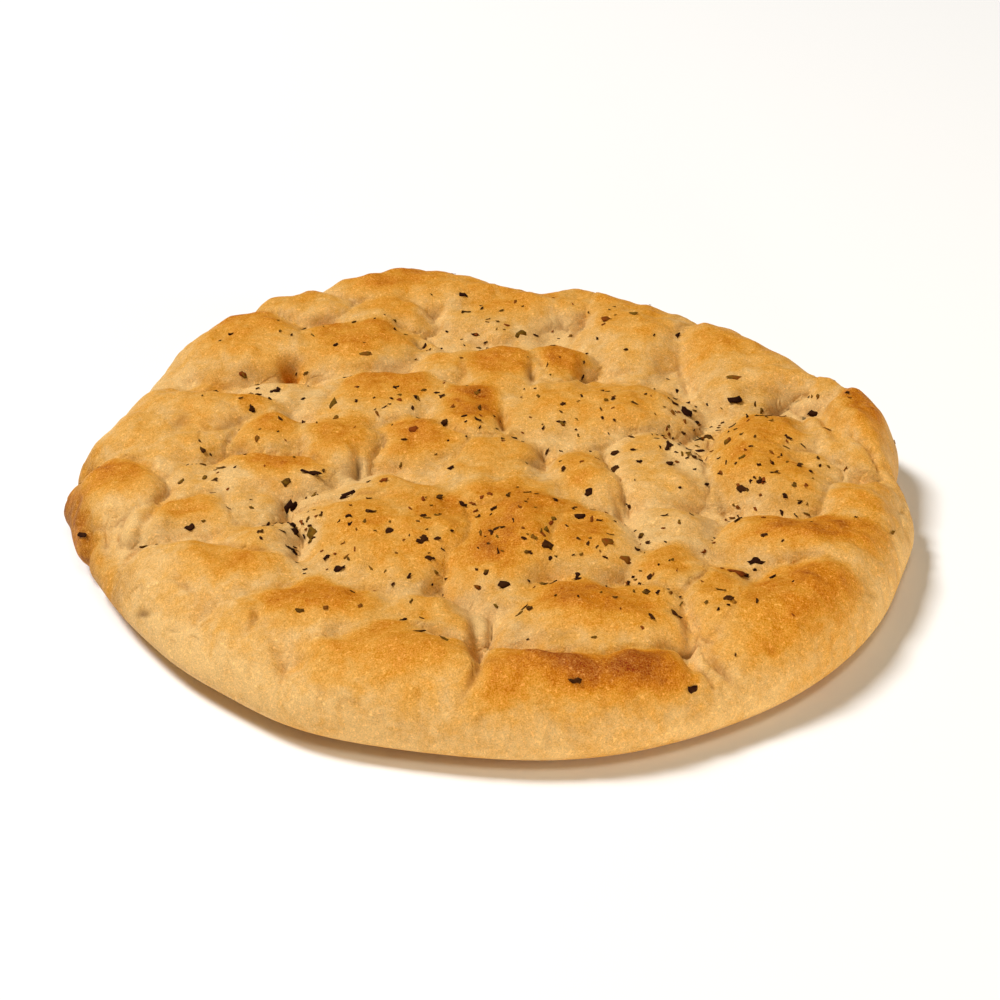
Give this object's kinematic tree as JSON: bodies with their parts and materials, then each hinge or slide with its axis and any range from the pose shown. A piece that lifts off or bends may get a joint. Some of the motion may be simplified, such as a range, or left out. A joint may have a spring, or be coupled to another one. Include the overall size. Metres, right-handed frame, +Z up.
{
  "type": "focaccia",
  "caption": "Round flat focaccia with a dimpled golden crust of rounded swellings, a thick rolled edge, a flat base and dried herb flakes baked onto its top.",
  "frame": {"origin": "centre of the underside's resting face, below the middle of the bread", "axes": "+Z up through the thickness, +X to the right and +Y away from the front edge as pictured"},
  "size_m": [0.2488, 0.2465, 0.0313],
  "materials": {
    "crust": null
  },
  "bodies": {
    "root": {"focaccia": "crust"}
  },
  "joints": []
}
